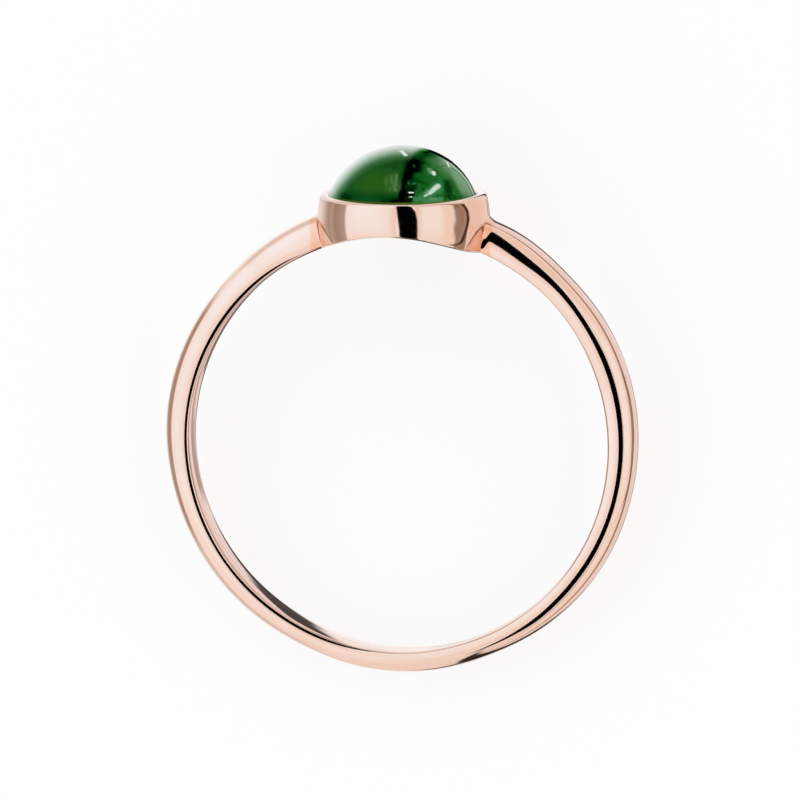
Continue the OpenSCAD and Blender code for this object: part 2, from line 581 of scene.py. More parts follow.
@dataclass(frozen=True)
class Shank:
    """The slim band, a D in section, with its ends soldered to the cup."""

    space: RingSpace
    cup: Cup
    width: float = 1.65
    outer_shift: Span = (0.045, 0.18)
    outer_dressing: tuple[Dressing, ...] = dressings(
        (137, -0.085, 13), (175, 0.04, 8), (243, -0.08, 10), (294, -0.075, 9),
        (330, 0.035, 10), (14, 0.035, 12), (45, -0.055, 7), (64, 0.06, 8),
    )
    inner_dressing: tuple[Dressing, ...] = dressings(
        (112, -0.06, 8), (142, -0.01, 9), (178, 0.02, 14),
        (244, -0.03, 12), (272, 0.05, 22), (42, 0.05, 14),
    )
    # How far the opening narrows from the middle to the front, and widens to the back.
    taper: tuple[Dressing, ...] = dressings((288, 0.05, 14))
    # The slope of the front from the opening to the crown.
    lean: tuple[Dressing, ...] = dressings(
        (138, 0.035, 13), (176, -0.045, 13), (246, 0.06, 14),
        (320, -0.075, 14), (56, -0.085, 9), (46, 0.08, 6),
    )
    left_fillet: float = 0.05
    right_fillet: float = 0.09
    # The long arc by which the right fillet sets in, and how far it turns.
    right_ease: float = 0.8
    ease_deg: float = 20.0
    # The share of the thickness over which a fillet comes in, and how far the band's end is inside the wall.
    fillet_share: float = 0.2
    sunk: float = 0.12
    # The share of the band at either end over which its sections turn square to it.
    end_share: float = 0.02
    # The side and the back of the section, from the opening to the crown: radius and the normal's angle at
    # the end.
    section_step_deg: float = 3.0
    arcs: Arcs = (
        (4.0, -84.0), (0.2, -44.0), (0.1, -19.0), (0.63, -6.2), (1.0, 6.2),
        (0.79, 19.0), (0.86, 34.0), (0.57, 80.0), (1.755, 90.0),
    )

    def _section(self, flat_rows: int = 3) -> tuple[Array, Array, Array]:
        """The closed section: a flat from the middle, the upper half's arcs, and their mirror image.

        Args:
            flat_rows: The number of points on the flat, above the middle.

        Returns:
            The share of the thickness from the opening, the height z in millimetres, and the outward normal's
            parts across the thickness and along z.
        """
        half = arc_chain(-90.0, self.arcs, self.section_step_deg)
        share = half[:, 0] / half[-1, 0]
        height = half[:, 1] - half[-1, 1]
        height *= self.width / 2 / height.max()
        flat = np.linspace(0, height[0], flat_rows + 1)[:-1]
        upper_share = np.concatenate((np.zeros(flat_rows), share))
        upper_z = np.concatenate((flat, height))
        upper_angle = np.concatenate((np.full(flat_rows, -math.pi / 2), half[:, 2]))
        share = np.concatenate((upper_share, upper_share[-2:0:-1]))
        height = np.concatenate((upper_z, -upper_z[-2:0:-1]))
        out = np.concatenate((np.sin(upper_angle), np.sin(upper_angle[-2:0:-1])))
        up = np.concatenate((np.cos(upper_angle), -np.cos(upper_angle[-2:0:-1])))
        return share, height, np.stack((out, up), -1)

    def inner_radius(self, turn: Array) -> Array:
        """The opening's radius at a turn, with the dressing."""
        return self.space.finger_r + sum(d.height_at(turn) for d in self.inner_dressing)

    def outer_radius(self, turn: Array) -> Array:
        """The crown's distance from the centre, for a circle that is moved by (a, b), with the dressing.

        With p = a cos t + b sin t and q = a sin t − b cos t, a circle of radius R is at p + sqrt(R² − q²).

        Args:
            turn: The turns.

        Returns:
            The distances.
        """
        a, b = self.outer_shift
        p = a * np.cos(turn) + b * np.sin(turn)
        q = a * np.sin(turn) - b * np.cos(turn)
        circle = p + np.sqrt(self.space.outer_r**2 - q**2)
        return circle + sum(d.height_at(turn) for d in self.outer_dressing)

    def radius(self, turn: Array, share: Array) -> Array:
        """The distance from the centre at a turn and a share of the thickness."""
        inner = self.inner_radius(turn)
        return inner + (self.outer_radius(turn) - inner) * share

    def _end_turn(
        self, share: Array, z: Array, lift: Array, stand_off: float, side: int, passes: int = 30
    ) -> Array:
        """The turn at which a point of the section stands off the cup's wall by a distance.

        The point at turn t has x = r cos t and y = r sin t, and stands off by d where
        sqrt((x − shift)² + z²) = wall radius at y + d. Each pass works x out from y and then y from x.

        Args:
            share: The point's share of the thickness.
            z: Its height along the finger opening.
            lift: What it is raised across the thickness.
            stand_off: Its distance from the wall.
            side: 1 for the right end and -1 for the left.
            passes: The number of passes.

        Returns:
            The turn in radians.
        """
        x = np.full_like(share, side * self.cup.widest_r)
        least = 0.01
        for _ in range(passes):
            turn = np.arccos(np.clip(x / self.space.finger_r, -1, 1))
            r = self.radius(turn, share) + lift
            y = np.sqrt(np.maximum(r**2 - x**2, 0))
            reach = np.maximum((self.cup.wall_radius(y) + stand_off) ** 2 - z**2, least)
            x = self.cup.shift + side * np.sqrt(reach)
        return np.arctan2(y, x)

    def _weld(self, fillet: float, side: int, rows: int = 9) -> tuple[Array, Array, Array]:
        """The rows of one soldered end, from inside the wall to where the band begins.

        The fillet is an arc of radius e from the band and one of radius f on to the wall. At angle a on the
        first, it is e (1 − cos a) above the band and e sin a from its beginning. The second goes on from it.

        Args:
            fillet: The fillet's radius f.
            side: 1 for the right end and -1 for the left.
            rows: The number of rows on each arc.

        Returns:
            The turn, the thickness's raise and the height of each point in each row.
        """
        share, height, normal = self._section()
        raised = np.clip(share / self.fillet_share, 0, 1)
        ease_end = math.radians(self.ease_deg)
        steep = np.linspace(math.pi / 2, ease_end, rows)
        gentle = np.linspace(ease_end, 0, rows)[1:]
        ease_r = self.right_ease if side > 0 else fillet
        sine, cosine = math.sin(ease_end), math.cos(ease_end)
        length = np.concatenate((ease_r * sine + fillet * (np.sin(steep) - sine), ease_r * np.sin(gentle)))
        rise = np.concatenate(
            (ease_r * (1 - cosine) + fillet * (cosine - np.cos(steep)), ease_r * (1 - np.cos(gentle)))
        )
        stand_off = np.concatenate(([-self.sunk], length[0] - length))
        raise_by = np.concatenate(([rise[0]], rise))
        lift = raise_by[:, None] * raised * normal[None, :, 0]
        z = height + raise_by[:, None] * raised * normal[None, :, 1]
        places = zip(z, lift, stand_off.tolist())
        turn = np.stack([self._end_turn(share, *place, side) for place in places])
        return turn, lift, z

    def build(self, rows: int = 560) -> bpy.types.Object:
        """Builds the band from the left seam round the back to the right seam.

        The taper draws a point at height z in by taper · (1 − share) · 2 z / width. The lean lifts it by lean
        times its distance past half the thickness.

        Args:
            rows: The number of sections between the two soldered ends.

        Returns:
            The band's object.
        """
        share, height, _ = self._section()
        left = self._weld(self.left_fillet, -1)
        right = self._weld(self.right_fillet, 1)
        start, finish = left[0][-1], right[0][-1] + 2 * math.pi
        t = np.linspace(0, 1, rows + 2)[1:-1, None]
        straight = start.mean() + (finish.mean() - start.mean()) * t
        near_start, near_finish = (np.clip(1 - away / self.end_share, 0, 1) ** 2 for away in (t, 1 - t))
        turn = straight + (start - start.mean()) * near_start + (finish - finish.mean()) * near_finish
        turns = np.concatenate((left[0], turn, right[0][::-1] + 2 * math.pi))
        none = np.zeros_like(turn)
        lifts = np.concatenate((left[1], none, right[1][::-1]))
        heights = np.concatenate((left[2], none + height, right[2][::-1]))
        narrowing = sum(d.height_at(turns) for d in self.taper) * (1 - share) * 2 / self.width
        r = self.radius(turns, share) + lifts - narrowing * heights
        slope = sum(d.height_at(turns) for d in self.lean)
        heights = heights + slope * (r - self.radius(turns, np.full_like(share, 0.5)))
        loops = np.stack((r * np.cos(turns), r * np.sin(turns), heights), -1)
        return loft("shank", self.space.place(loops), End.CENTRE)


@dataclass(frozen=True)
class Cabochon:
    """The stone: a round dome on a short side and a flat base."""

    space: RingSpace
    shift: float = 0.15
    girdle_r: float = 3.12
    dome_r: float = 3.3
    top_h: float = 3.52
    base_h: float = 0.74
    bevel: float = 0.12
    # The right flank: how far it is ground in at an angle above the dome's centre, the angle above which it
    # isn't, and the power of what is between them.
    flank_cut: float = 0.11
    flank_at_deg: float = 24.0
    flank_top_deg: float = 62.0
    flank_power: float = 1.3
    # The radius out to which the top and the base are left round.
    round_r: float = 2.0

    @property
    def centre(self) -> tuple[float, float, float]:
        """The middle of the dome's sphere in the ring's space."""
        return self.shift, self.space.finger_r + self.top_h - self.dome_r, 0.0

    def flank(self, height: Array, turn: Array) -> Array:
        """How far the right flank is ground in: c sin²t ((1 − e / top) / (1 − at / top))^p at an angle e.

        Args:
            height: The heights.
            turn: The turns about the head's axis.

        Returns:
            What is taken off the radius.
        """
        rise = np.clip((height - self.centre[1]) / self.dome_r, 0, 1)
        share = np.clip(1 - np.degrees(np.arcsin(rise)) / self.flank_top_deg, 0, 1) ** self.flank_power
        full = (1 - self.flank_at_deg / self.flank_top_deg) ** self.flank_power
        return self.flank_cut / full * share * np.clip(np.sin(turn), 0, 1) ** 2

    def radius_at(self, height: Array) -> Array:
        """The stone's radius at a height: sqrt(R² − (y − y0)²), and no more than the girdle's."""
        dome = np.sqrt(np.maximum(self.dome_r**2 - (height - self.centre[1]) ** 2, 0))
        return np.minimum(dome, self.girdle_r)

    def build(self, around: int = 384, rings: int = 120) -> bpy.types.Object:
        """Builds the stone as rings from the top of the dome to the middle of the base.

        Args:
            around: The number of places on a ring.
            rings: The number of rings on the dome.

        Returns:
            The stone's object.
        """
        side_rings, base_rings = 5, 8
        first_share, last_share = 0.006, 0.02
        base = self.space.finger_r + self.base_h
        angle = np.linspace(first_share, 1, rings) * math.asin(self.girdle_r / self.dome_r)
        dome_h = self.centre[1] + self.dome_r * np.cos(angle)
        side_h = np.linspace(dome_h[-1], base + self.bevel, side_rings + 1)[1:]
        base_r = (self.girdle_r - self.bevel) * np.linspace(1, last_share, base_rings)
        dome_r, side_r = self.dome_r * np.sin(angle), np.full(side_rings, self.girdle_r)
        radius = np.concatenate((dome_r, side_r, base_r))[:, None]
        height = np.concatenate((dome_h, side_h, np.full(base_rings, base)))[:, None]
        turn = np.linspace(0, 2 * math.pi, around, endpoint=False)[None, :]
        ground = radius - self.flank(height, turn) * (radius > self.round_r)
        loops = (ground * np.sin(turn) + self.shift, height, ground * np.cos(turn))
        return loft("cabochon", self.space.place(np.stack(np.broadcast_arrays(*loops), -1)), End.CENTRE)


# Finishes


@dataclass(frozen=True)
class RoseGold:
    """Polished rose gold, with the faint ripple and hairlines of handwork, darker streaks in the opening, a
    painted shadow at the cup's foot, painted reflections at the soldered corners and on the cup's right
    flank, and painted shade on the left of the rim.
    """

    space: RingSpace
    cup: Cup
    colour: Colour = (0.84, 0.655, 0.57)
    roughness: float = 0.05
    # What the colour is multiplied by in its deeper clouds, on the darker streaks in the opening, for the
    # painted reflections at the soldered corners and on the cup's right flank, and for the painted shade on
    # the left of the rim.
    deep: Colour = (0.97, 0.93, 0.90)
    opening_streaks: Colour = (0.75, 0.62, 0.55)
    painted_corner_reflection: Colour = (1.0, 0.77, 0.62)
    painted_flank_reflection: Colour = (1.0, 0.84, 0.72)
    painted_rim_shade: Colour = (0.78, 0.75, 0.74)
    shadow: Colour = (0.03, 0.02, 0.015)
    # Where the shadow at the cup's foot ends above the underside, and sets in along z and x.
    foot_over: Span = (0.03, 0.06)
    foot_z: Span = (1.0, 1.2)
    foot_x: Span = (0.1, 0.6)
    # The depth in the opening to which the darker streaks reach.
    streak_depth: Span = (0.06, 0.14)
    # The place of the painted corner reflections off the wall's widest circle, to the side and above the
    # opening.
    corner_off: Span = (-0.15, 0.28)
    corner_aside: Span = (2.6, 3.0)
    corner_y: Span = (-2.0, 0.625)
    # The same for the painted reflection on the flank and the painted shade on the rim.
    flank_off: Span = (-0.15, 0.15)
    flank_aside: Span = (2.62, 2.72)
    flank_y: Span = (0.5, 0.75)
    rim_aside: Span = (-3.05, -2.5)
    rim_y: Span = (1.28, 1.45)

    def _foot(self, graph: Graph, radius: Value, x: Value, z: Value) -> Value:
        """The thin shadow along the cup's lower edge at the front, as the flare's formula gives the edge.

        Args:
            graph: The material's graph.
            radius: The distance from the finger opening's axis.
            x: The place to the right.
            z: The place along the finger opening.

        Returns:
            The shadow's share.
        """
        flare_r = self.cup.flare_r
        past = graph.math("MAXIMUM", graph.math("ABSOLUTE", z) - self.cup.straight_w, 0.0)
        over = radius - (self.space.finger_r + flare_r) + (flare_r**2 - past * past) ** 0.5
        ahead = graph.ramp_up(z, *self.foot_z) * graph.ramp_up(x, *self.foot_x)
        return graph.ramp_down(over, *self.foot_over) * ahead

    def _colour(self, graph: Graph, place: Socket) -> Socket:
        """The metal's colour with its clouds, the foot's painted shadow, darker streaks in the opening,
        painted reflections at the corners and on the right flank, and painted shade on the left of the rim.

        Args:
            graph: The material's graph.
            place: The place in the frame, in metres.

        Returns:
            The colour.
        """
        off = (graph.dot(place, axis) - float(self.space.centre @ axis) for axis in self.space.axes)
        x, y, z = (part / MM for part in off)
        radius = (x * x + y * y) ** 0.5
        around = graph.math("ARCTAN2", y, x)
        lines = graph.noise(graph.combine(around * 0.7, radius * 5.0, z * 4.0), 3.0)
        clouds = graph.ramp_up(graph.noise(place, 300.0), 0.35, 0.65)
        colour = graph.paint(clouds, (*self.colour, 1), tinted(self.colour, self.deep))
        colour = graph.paint(self._foot(graph, radius, x, z) * 0.9, colour, self.shadow)
        above = y - self.space.finger_r
        # Darker streaks along the finger opening.
        opening = graph.ramp_down(radius - self.space.finger_r, *self.streak_depth)
        opening_streaks = graph.ramp_up(lines, 0.45, 0.62) * opening * 0.8
        aside = x - self.cup.shift
        off_wall = (aside * aside + z * z) ** 0.5 - self.cup.widest_r
        # Painted warm reflection where the band and the cup face each other at the soldered corners.
        corner = graph.window(off_wall, *self.corner_off, 0.08) * graph.window(above, *self.corner_y, 0.125)
        corner = corner * graph.ramp_up(graph.math("ABSOLUTE", aside), *self.corner_aside) * 0.9
        # Painted reflection of the band on the cup's right flank.
        flank = graph.window(off_wall, *self.flank_off, 0.08) * graph.ramp_up(above, *self.flank_y)
        flank = flank * graph.ramp_up(aside, *self.flank_aside)
        # Painted shade on the left of the rim.
        rim = graph.ramp_down(aside, *self.rim_aside) * graph.ramp_up(above, *self.rim_y)
        for share, tint in ((opening_streaks, self.opening_streaks), (corner, self.painted_corner_reflection), (flank, self.painted_flank_reflection), (rim, self.painted_rim_shade)):
            colour = graph.paint(share, colour, tinted(self.colour, tint))
        return colour

    def material(self) -> bpy.types.Material:
        """Builds the finish.

        Returns:
            The material.
        """
        made = bpy.data.materials.new("rose_gold_polished")
        made.use_nodes = True
        graph = Graph(made.node_tree)
        place = graph.node("ShaderNodeTexCoord").outputs["Object"]
        height = graph.noise(place, 700.0, 1.0) + graph.noise(place, 26000.0, 2.0, 1.5) * 0.004
        bump = graph.node("ShaderNodeBump", None, {"Strength": 0.25, "Distance": 0.00001, "Height": height})
        look = {
            "Base Color": self._colour(graph, place),
            "Roughness": self.roughness + graph.noise(place, 4000.0, 3.0) * 0.03,
            "Metallic": 1.0,
            "Normal": bump.outputs["Normal"],
        }
        shader = graph.node("ShaderNodeBsdfPrincipled", None, look)
        graph.node("ShaderNodeOutputMaterial", None, {"Surface": shader.outputs[0]})
        return made


@dataclass(frozen=True)
class Mark:
    """A stroke in the stone's colour: a wisp, a fleck, a painted highlight or a painted reflection of
    something dark.

    Places are in millimetres right of and above the dome's centre, on the side to the viewer.
    """

    start: Span
    finish: Span
    radii: Span
    soft: float
    colour: Colour
    share: float = 1.0


BLACK = (0.0, 0.0005, 0.0)
DEEP = (0.0, 0.026, 0.003)
TEAL = (0.001, 0.058, 0.009)
LEAF = (0.021, 0.116, 0.010)
PALE = (0.22, 0.46, 0.26)
LIT = (0.72, 0.92, 0.75)


@dataclass(frozen=True)
class GreenTourmaline:
    """Green tourmaline with dark wisps and bright flecks, and painted light: a reflection of a dark slit,
    highlights, and a haze, sheen, film and lines along its edge where it reflects its surroundings.
    """

    stone: Cabochon
    body: Colour = (0.012, 0.096, 0.013)
    deep: Colour = (0.7, 0.7, 0.7)
    wander: float = 0.1
    # The right half: where it sets in, its clear part and its bright and dark swirls.
    right_x: Span = (0.6, 1.1)
    right_body: Colour = (0.008, 0.125, 0.014)
    right_bright: Colour = (0.035, 0.215, 0.05)
    right_dark: Colour = (0.001, 0.06, 0.005)
    # The olive line along the cup, where the metal shines in.
    olive_y: Span = (1.2, 1.37)
    olive_left: Colour = (0.09, 0.13, 0.01)
    olive_right: Colour = (0.14, 0.28, 0.02)
    # The edge on the left: the cosines between which the painted haze and sheen, reflections of the white
    #     surroundings, go to nothing.
    left_x: Span = (0.9, 1.3)
    painted_haze: Span = (0.31, 0.62)
    painted_haze_colour: Colour = (0.16, 0.38, 0.19)
    painted_sheen: Span = (0.14, 0.52)
    painted_sheen_share: float = 0.94
    painted_sheen_colour: Colour = (0.86, 0.88, 0.87)
    # What is added to the cosine there, on the right and low down, and where it sets in and goes.
    added_right: float = 0.4
    added_right_x: Span = (0.42, 1.15)
    added_low: float = 0.035
    added_low_y: Span = (1.4, 2.2)
    # The edge on the right: where the painted film and each painted line set in, and the cosines at which
    # they are;
    #     they stand in for the light and the dark that the edge reflects.
    painted_film_x: Span = (1.2, 2.0)
    painted_film: Span = (0.25, 0.64)
    painted_film_colour: Colour = (0.28, 0.46, 0.30)
    highlight_x: Span = (1.5, 1.9)
    highlight_line: Span = (0.32, 0.355)
    highlight_colour: Colour = (0.60, 0.70, 0.62)
    thin_x: Span = (1.9, 2.2)
    thin_line: Span = (0.38, 0.41)
    black_x: Span = (0.95, 1.1)
    black_line: Span = (0.26, 0.30)
    dark_reflection_colour: Colour = (0.002, 0.004, 0.003)
    # What is added to the cosine for the lines, everywhere and low down, and where the black one is full.
    inward: float = 0.02
    inward_low: float = 0.087
    inward_low_y: Span = (1.9, 3.1)
    black_y: Span = (1.7, 2.2)
    # The mirror on the far half.
    gloss_colour: Colour = (0.84, 0.86, 0.86)
    gloss_z: Span = (-1.2, -0.2)
    fibres: Mark = Mark((-0.1, 2.3), (0.05, 1.9), (0.12, 0.12), 0.3, (0.12, 0.28, 0.10), 0.5)
    marks: tuple[Mark, ...] = (
        # The light in the left half, and the darker band along the cup.
        Mark((-0.85, 1.95), (-0.1, 1.95), (0.3, 0.2), 0.8, LEAF, 0.9),
        Mark((-2.1, 1.42), (0.2, 1.42), (0.08, 0.08), 0.42, TEAL),
        Mark((-1.2, 1.46), (-0.8, 1.44), (0.02, 0.02), 0.2, (0.002, 0.09, 0.018), 0.6),
        Mark((-2.2, 1.48), (-1.8, 1.42), (0.03, 0.03), 0.2, DEEP, 0.9),
        Mark((-0.3, 1.38), (0.3, 1.42), (0.02, 0.04), 0.16, DEEP),
        # The dark band from the cup to the top, a painted reflection of the dark slit before the ring.
        Mark((0.55, 1.4), (0.62, 2.1), (0.2, 0.24), 0.2, DEEP, 0.95),
        Mark((0.62, 2.1), (0.76, 2.8), (0.2, 0.3), 0.3, (0.0, 0.03, 0.003), 0.95),
        Mark((0.76, 2.85), (1.15, 3.02), (0.1, 0.08), 0.3, (0.001, 0.045, 0.004), 0.95),
        Mark((0.1, 1.38), (0.75, 1.36), (0.06, 0.04), 0.12, BLACK, 0.95),
        Mark((0.41, 1.4), (0.43, 1.74), (0.12, 0.11), 0.1, BLACK),
        Mark((0.43, 1.74), (0.46, 2.02), (0.08, 0.03), 0.1, BLACK),
        Mark((0.46, 2.02), (0.46, 2.2), (0.02, 0.03), 0.1, BLACK),
        Mark((0.47, 2.2), (0.57, 2.38), (0.06, 0.12), 0.1, BLACK),
        Mark((0.57, 2.38), (0.7, 2.6), (0.11, 0.17), 0.14, BLACK),
        Mark((0.7, 2.62), (0.74, 2.82), (0.16, 0.16), 0.24, BLACK),
        Mark((0.98, 3.1), (1.25, 3.06), (0.03, 0.02), 0.12, BLACK, 0.9),
        Mark((0.73, 2.73), (0.73, 2.67), (0.01, 0.01), 0.06, (0.004, 0.08, 0.03), 0.9),
        Mark((0.62, 1.93), (0.8, 1.93), (0.05, 0.04), 0.1, (0.001, 0.02, 0.002), 0.9),
        # The right half.
        Mark((1.4, 2.8), (1.85, 2.45), (0.1, 0.1), 0.4, (0.035, 0.185, 0.04), 0.8),
        Mark((0.95, 2.35), (1.35, 2.3), (0.06, 0.08), 0.2, (0.006, 0.125, 0.012), 0.8),
        Mark((2.3, 2.2), (2.6, 1.75), (0.08, 0.1), 0.3, (0.13, 0.36, 0.14), 0.8),
        Mark((1.3, 2.95), (1.6, 2.78), (0.04, 0.04), 0.2, (0.02, 0.12, 0.03), 0.7),
        Mark((0.85, 2.2), (1.2, 2.1), (0.02, 0.02), 0.1, (0.001, 0.06, 0.004), 0.8),
        Mark((1.85, 2.2), (1.9, 1.95), (0.1, 0.1), 0.3, (0.02, 0.19, 0.04), 0.8),
        Mark((2.06, 2.03), (2.14, 1.78), (0.06, 0.08), 0.24, (0.0, 0.042, 0.003), 0.95),
        Mark((1.25, 2.62), (1.5, 2.2), (0.1, 0.08), 0.2, (0.02, 0.15, 0.03), 0.6),
        Mark((0.95, 1.5), (1.2, 1.5), (0.03, 0.03), 0.14, (0.05, 0.29, 0.10), 0.9),
        Mark((1.3, 1.44), (1.95, 1.44), (0.03, 0.04), 0.13, (0.075, 0.33, 0.14), 0.85),
        Mark((1.5, 1.5), (1.7, 1.48), (0.01, 0.02), 0.09, PALE, 0.5),
        Mark((1.25, 1.56), (1.75, 1.9), (0.06, 0.12), 0.2, (0.05, 0.27, 0.09), 0.85),
        Mark((1.36, 1.68), (1.75, 1.93), (0.02, 0.07), 0.1, PALE, 0.9),
        Mark((1.28, 1.60), (1.54, 1.71), (0.0, 0.015), 0.055, LIT, 0.95),
        Mark((1.48, 1.72), (1.62, 1.82), (0.03, 0.05), 0.08, LIT, 0.85),
        Mark((1.63, 1.87), (1.77, 1.96), (0.05, 0.05), 0.08, LIT, 0.9),
        Mark((1.42, 1.83), (1.6, 1.95), (0.0, 0.01), 0.05, (0.03, 0.2, 0.06), 0.5),
        Mark((1.34, 2.55), (1.41, 2.46), (0.03, 0.04), 0.14, PALE, 0.6),
        Mark((1.51, 2.44), (1.53, 2.39), (0.05, 0.04), 0.08, LIT, 0.95),
        Mark((2.18, 1.56), (2.22, 1.52), (0.06, 0.06), 0.05, (0.0, 0.02, 0.002), 0.9),
        Mark((2.2, 1.55), (2.22, 1.52), (0.01, 0.01), 0.05, (0.06, 0.28, 0.1)),
        Mark((0.62, 2.12), (0.66, 2.06), (0.01, 0.01), 0.06, (0.03, 0.18, 0.06), 0.6),
        Mark((0.78, 2.06), (0.9, 2.1), (0.0, 0.01), 0.07, (0.04, 0.22, 0.07), 0.7),
        # Fibres to the left of the wisp.
        Mark((-0.05, 2.25), (0.08, 1.95), (0.12, 0.1), 0.25, (0.045, 0.15, 0.03), 0.75),
        Mark((-0.08, 2.34), (-0.04, 2.1), (0.0, 0.01), 0.05, (0.08, 0.23, 0.07), 0.8),
        Mark((0.13, 2.42), (0.15, 1.85), (0.0, 0.03), 0.07, (0.09, 0.24, 0.08), 0.85),
        Mark((0.03, 2.2), (0.05, 1.95), (0.0, 0.01), 0.05, (0.08, 0.22, 0.07), 0.7),
        # The two painted highlights over the dark band, with painted dark round them.
        Mark((0.60, 1.84), (0.84, 1.84), (0.0, 0.0), 0.05, BLACK, 0.9),
        Mark((0.62, 1.66), (0.88, 1.66), (0.02, 0.02), 0.05, BLACK),
        Mark((0.66, 1.5), (0.84, 1.5), (0.02, 0.02), 0.06, BLACK, 0.95),
        Mark((0.7, 1.745), (0.84, 1.745), (0.01, 0.01), 0.035, (1.0, 1.0, 1.0)),
        Mark((0.73, 1.585), (0.82, 1.585), (0.0, 0.0), 0.04, LIT),
    )
    # Painted highlights, laid over the edge: one near the top and a white spot on the right flank.
    painted_highlights: tuple[Mark, ...] = (
        Mark((0.08, 3.18), (0.3, 3.06), (0.02, 0.03), 0.1, (0.92, 0.95, 0.92), 0.85),
        Mark((1.86, 2.69), (1.97, 2.57), (0.02, 0.01), 0.055, (1.0, 1.0, 1.0)),
    )

    def _share(self, graph: Graph, place: Socket, mark: Mark) -> Value:
        """How much of the colour at a place is the mark's.

        With a and b the mark's ends on the dome, s = (p − a)·(b − a) / |b − a|² held to 0…1 and
        d = |p − a − s (b − a)|, it is 1 where d is under r0 + (r1 − r0) s and 0 from soft beyond it.

        Args:
            graph: The material's graph.
            place: The place in millimetres from the dome's centre.
            mark: The mark.

        Returns:
            The share from 0 to 1.
        """
        start, finish = (
            np.array((x, y, math.sqrt(max(self.stone.dome_r**2 - x * x - y * y, 0.0))))
            for x, y in (mark.start, mark.finish)
        )
        way = finish - start
        apart = graph.vector("SUBTRACT", place, tuple(start))
        along = graph.held(graph.dot(apart, way / (way @ way)))
        shift = graph.node("ShaderNodeVectorMath", {"operation": "SCALE"}, {0: tuple(way), "Scale": along})
        distance = graph.length(graph.vector("SUBTRACT", apart, shift.outputs[0]))
        radius = mark.radii[0] + (mark.radii[1] - mark.radii[0]) * along
        return graph.ramp_down(distance - radius, 0.0, mark.soft) * mark.share

    def _body(self, graph: Graph, x: Value, y: Value, z: Value) -> Socket:
        """The stone's colour without its edge: clouds, swirls on the right, fibres and the marks.

        Args:
            graph: The material's graph.
            x: The place in millimetres right of the dome's centre.
            y: The place in millimetres above it.
            z: The place in millimetres before it.

        Returns:
            The colour.
        """
        straight = graph.combine(x, y, z)
        wander = graph.node("ShaderNodeTexNoise", None, {"Vector": straight, "Scale": 3.0, "Detail": 3.0})
        wander = graph.vector("SUBTRACT", wander.outputs["Color"], (0.5, 0.5, 0.5))
        place = graph.vector("ADD", straight, graph.vector("MULTIPLY", wander, (self.wander,) * 3))
        cloud = graph.ramp_up(graph.noise(place, 1.6, 3.0, 0.6), 0.42, 0.7)
        colour = graph.paint(cloud, (*self.body, 1), tinted(self.body, self.deep))
        right = graph.ramp_up(x, *self.right_x)
        swirl = graph.noise(place, 2.6, 4.0, 1.8)
        colour = graph.paint(right, colour, self.right_body)
        colour = graph.paint(graph.ramp_up(swirl, 0.5, 0.66) * right * 0.7, colour, self.right_bright)
        colour = graph.paint(graph.ramp_down(swirl, 0.36, 0.47) * right * 0.8, colour, self.right_dark)
        for mark in self.marks:
            colour = graph.paint(self._share(graph, place, mark), colour, mark.colour)
        fibre = graph.ramp_up(graph.noise(graph.combine(x * 14.0, y * 1.2, z * 2.0), 1.0), 0.45, 0.75)
        colour = graph.paint(fibre * self._share(graph, place, self.fibres), colour, self.fibres.colour)
        olive = graph.blend(graph.ramp_up(x, -1.0, 1.8), (*self.olive_left, 1), (*self.olive_right, 1))
        return graph.blend(graph.window(y, *self.olive_y, 0.02) * 0.8, colour, olive)

    def _edge(
        self, graph: Graph, facing: Value, x: Value, y: Value, z: Value, colour: Socket
    ) -> Socket:
        """Adds the painted reflections along the dome's edge: haze and sheen on the left, film and lines on
        the right.

        As the cosine between the surface and the way it is seen falls, the left half goes over to the painted
        haze's colour and then to the painted sheen's. The right flank has, from the edge inwards, a painted
        black line, a white one and a thin dark one in a lighter green film.

        Args:
            graph: The material's graph.
            facing: The cosine between the surface and the way it is seen.
            x: The place in millimetres right of the dome's centre.
            y: The place in millimetres above it.
            z: The place in millimetres before it.
            colour: The stone's colour.

        Returns:
            The colour with the edge.
        """
        left = graph.ramp_down(x, *self.left_x)
        from_edge = facing + self.added_right * graph.ramp_up(x, *self.added_right_x)
        from_edge = from_edge + self.added_low * graph.ramp_down(y, *self.added_low_y)
        # Painted reflections of the white surroundings on the left half.
        painted_haze = left * graph.ramp_down(from_edge, *self.painted_haze)
        painted_sheen = left * graph.ramp_down(from_edge, *self.painted_sheen) * self.painted_sheen_share
        # Painted reflections on the right flank: a lighter film, a highlight line and dark lines.
        painted_film = graph.ramp_up(x, *self.painted_film_x) * graph.ramp_down(facing, *self.painted_film)
        inward = facing + self.inward + self.inward_low * graph.ramp_down(y, *self.inward_low_y)
        white = graph.ramp_up(x, *self.highlight_x) * graph.window(inward, *self.highlight_line, 0.015) * 0.8
        thin = graph.ramp_up(x, *self.thin_x) * graph.window(inward, *self.thin_line, 0.012) * 0.6
        black = graph.ramp_up(x, *self.black_x) * graph.ramp_down(inward, *self.black_line)
        dark = graph.held(thin + black * (0.6 + 0.4 * graph.ramp_up(y, *self.black_y)))
        layers = [
            (painted_haze, self.painted_haze_colour),
            (painted_film, self.painted_film_colour),
            (painted_sheen, self.painted_sheen_colour),
            (white, self.highlight_colour),
            (dark, self.dark_reflection_colour),
        ]
        place = graph.combine(x, y, z)
        layers += [(self._share(graph, place, light), light.colour) for light in self.painted_highlights]
        for share, over in layers:
            colour = graph.paint(share, colour, over)
        return colour

